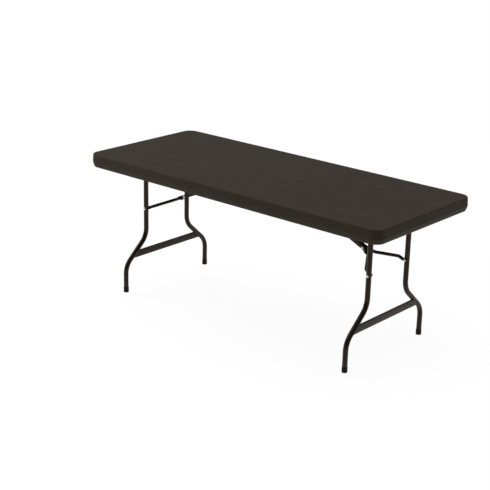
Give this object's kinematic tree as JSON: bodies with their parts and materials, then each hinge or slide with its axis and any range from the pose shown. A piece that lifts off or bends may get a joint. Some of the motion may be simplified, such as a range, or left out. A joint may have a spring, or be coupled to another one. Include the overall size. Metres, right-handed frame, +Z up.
{
  "type": "folding table",
  "caption": "Long folding table with a hollow moulded top and two wishbone tube leg frames that fold flat under it, each held open by a jointed brace with a lock ring.",
  "frame": {"origin": "on the floor under the middle of the top", "axes": "+Z up, +X along the length of the top, +Y across it"},
  "size_m": [1.829, 0.762, 0.737],
  "materials": {
    "moulded_plastic": "fine pebbled moulded polyethylene, dark warm brown-black, low sheen",
    "painted_steel": "dark brown-black powder coat with a soft gloss",
    "zinc_plated_steel": "bright zinc plate, lightly scuffed",
    "cap_plastic": "matt black moulded plastic, rubbed on the tread"
  },
  "bodies": {
    "root": {"tabletop": "moulded_plastic", "side_rail_front": "painted_steel", "side_rail_back": "painted_steel", "rail_screw_front_1": "zinc_plated_steel", "rail_screw_front_2": "zinc_plated_steel", "rail_screw_front_3": "zinc_plated_steel", "rail_screw_front_4": "zinc_plated_steel", "rail_screw_front_5": "zinc_plated_steel", "rail_screw_back_1": "zinc_plated_steel", "rail_screw_back_2": "zinc_plated_steel", "rail_screw_back_3": "zinc_plated_steel", "rail_screw_back_4": "zinc_plated_steel", "rail_screw_back_5": "zinc_plated_steel", "right_anchor_bracket": "painted_steel", "right_anchor_pin": "zinc_plated_steel", "right_bracket_screw_front": "zinc_plated_steel", "right_bracket_screw_back": "zinc_plated_steel", "left_anchor_bracket": "painted_steel", "left_anchor_pin": "zinc_plated_steel", "left_bracket_screw_front": "zinc_plated_steel", "left_bracket_screw_back": "zinc_plated_steel"},
    "right_leg_frame": {"right_pivot_tube": "painted_steel", "right_crossbar": "painted_steel", "right_front_leg_tube": "painted_steel", "right_front_foot_cap": "cap_plastic", "right_front_pivot_plug": "cap_plastic", "right_front_leg_rivet": "zinc_plated_steel", "right_back_leg_tube": "painted_steel", "right_back_foot_cap": "cap_plastic", "right_back_pivot_plug": "cap_plastic", "right_back_leg_rivet": "zinc_plated_steel"},
    "right_brace_link": {"right_swing_link": "painted_steel", "right_knee_pin": "zinc_plated_steel"},
    "right_brace_yoke": {"right_knee_bracket": "painted_steel", "right_yoke_front_arm": "painted_steel", "right_yoke_front_rivet": "zinc_plated_steel", "right_yoke_back_arm": "painted_steel", "right_yoke_back_rivet": "zinc_plated_steel"},
    "right_ring": {"right_lock_ring": "painted_steel"},
    "left_leg_frame": {"left_pivot_tube": "painted_steel", "left_crossbar": "painted_steel", "left_front_leg_tube": "painted_steel", "left_front_foot_cap": "cap_plastic", "left_front_pivot_plug": "cap_plastic", "left_front_leg_rivet": "zinc_plated_steel", "left_back_leg_tube": "painted_steel", "left_back_foot_cap": "cap_plastic", "left_back_pivot_plug": "cap_plastic", "left_back_leg_rivet": "zinc_plated_steel"},
    "left_brace_link": {"left_swing_link": "painted_steel", "left_knee_pin": "zinc_plated_steel"},
    "left_brace_yoke": {"left_knee_bracket": "painted_steel", "left_yoke_front_arm": "painted_steel", "left_yoke_front_rivet": "zinc_plated_steel", "left_yoke_back_arm": "painted_steel", "left_yoke_back_rivet": "zinc_plated_steel"},
    "left_ring": {"left_lock_ring": "painted_steel"}
  },
  "joints": [
    {"name": "right_leg_fold", "type": "hinge", "parent": "root", "child": "right_leg_frame", "pos_m": [0.721, 0, 0.684], "axis": [0, 1, 0], "range_deg": [0, 90]},
    {"name": "right_link_swing", "type": "hinge", "parent": "root", "child": "right_brace_link", "pos_m": [0.127, 0, 0.7], "axis": [0, 1, 0], "range_deg": [-24.54, 0]},
    {"name": "right_knee_bend", "type": "hinge", "parent": "right_brace_link", "child": "right_brace_yoke", "pos_m": [0.57839, 0, 0.49482], "axis": [0, 1, 0], "range_deg": [0, 174.24]},
    {"name": "right_ring_slide", "type": "slide", "parent": "right_brace_link", "child": "right_ring", "axis": [-0.9104, 0, 0.4138], "range_m": [0, 0.226]},
    {"name": "left_leg_fold", "type": "hinge", "parent": "root", "child": "left_leg_frame", "pos_m": [-0.721, 0, 0.684], "axis": [0, -1, 0], "range_deg": [0, 90]},
    {"name": "left_link_swing", "type": "hinge", "parent": "root", "child": "left_brace_link", "pos_m": [-0.127, 0, 0.7], "axis": [0, -1, 0], "range_deg": [-24.54, 0]},
    {"name": "left_knee_bend", "type": "hinge", "parent": "left_brace_link", "child": "left_brace_yoke", "pos_m": [-0.57839, 0, 0.49482], "axis": [0, -1, 0], "range_deg": [0, 174.24]},
    {"name": "left_ring_slide", "type": "slide", "parent": "left_brace_link", "child": "left_ring", "axis": [0.9104, 0, 0.4138], "range_m": [0, 0.226]}
  ],
  "couplings": [
    {"joint": "right_link_swing", "follows": "right_leg_fold", "ratio": -0.2716},
    {"joint": "right_knee_bend", "follows": "right_leg_fold", "ratio": 1.9349},
    {"joint": "right_ring_slide", "follows": "right_leg_fold", "m_per_rad": 0.14324},
    {"joint": "left_link_swing", "follows": "left_leg_fold", "ratio": -0.2716},
    {"joint": "left_knee_bend", "follows": "left_leg_fold", "ratio": 1.9349},
    {"joint": "left_ring_slide", "follows": "left_leg_fold", "m_per_rad": 0.14324}
  ]
}
